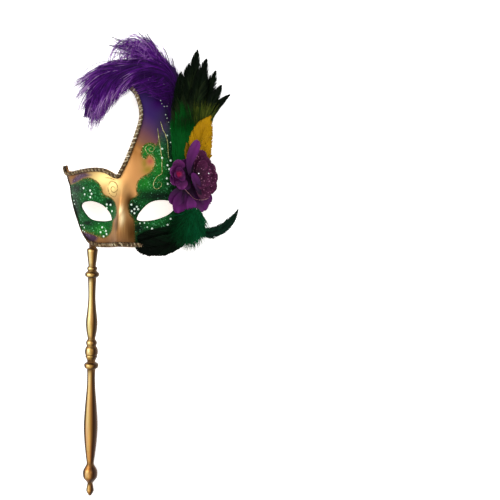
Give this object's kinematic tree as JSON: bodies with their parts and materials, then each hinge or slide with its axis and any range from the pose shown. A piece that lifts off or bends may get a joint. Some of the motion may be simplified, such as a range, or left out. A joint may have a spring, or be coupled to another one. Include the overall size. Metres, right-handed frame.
{
  "type": "feathered masquerade stick mask",
  "caption": "Painted carnival half-mask with a curled horn on a turned gold stick, trimmed with braid, a drooping plume, dark feathers and a cloth flower; held up to cover the eyes.",
  "frame": {"origin": "bottom centre of the whole object as it lies face up on a table", "axes": "+X to the viewer's right across the face, +Y up the face and away from the stick's end, +Z out of the face and up from the table"},
  "size_m": [0.1964, 0.4974, 0.0659],
  "materials": {
    "shell": "moulded papier-mache painted gold, green and purple, with glitter",
    "braid": "metallic gold gimp braid",
    "stick": "turned wood under satin gold paint",
    "plume": "dyed ostrich feather",
    "coque": "dyed cock feather, near black at the tip",
    "marabou": "dyed marabou down",
    "yellow": "dyed feather",
    "petal": "cloth flower petals, some with glitter"
  },
  "bodies": {
    "root": {"mask_shell": "shell", "upper_braid": "braid", "lower_braid": "braid", "stick": "stick", "ostrich_plume": "plume", "marabou_puff": "marabou", "curl_feather": "coque", "cheek_feather_1": "coque", "cheek_feather_2": "coque", "coque_feather_1": "coque", "coque_feather_2": "coque", "coque_feather_3": "coque", "coque_feather_4": "coque", "coque_feather_5": "coque", "coque_feather_6": "coque", "coque_feather_7": "coque", "yellow_feather": "yellow", "flower_back": "petal", "flower_ruffle": "petal", "side_blossom": "petal"}
  },
  "joints": []
}
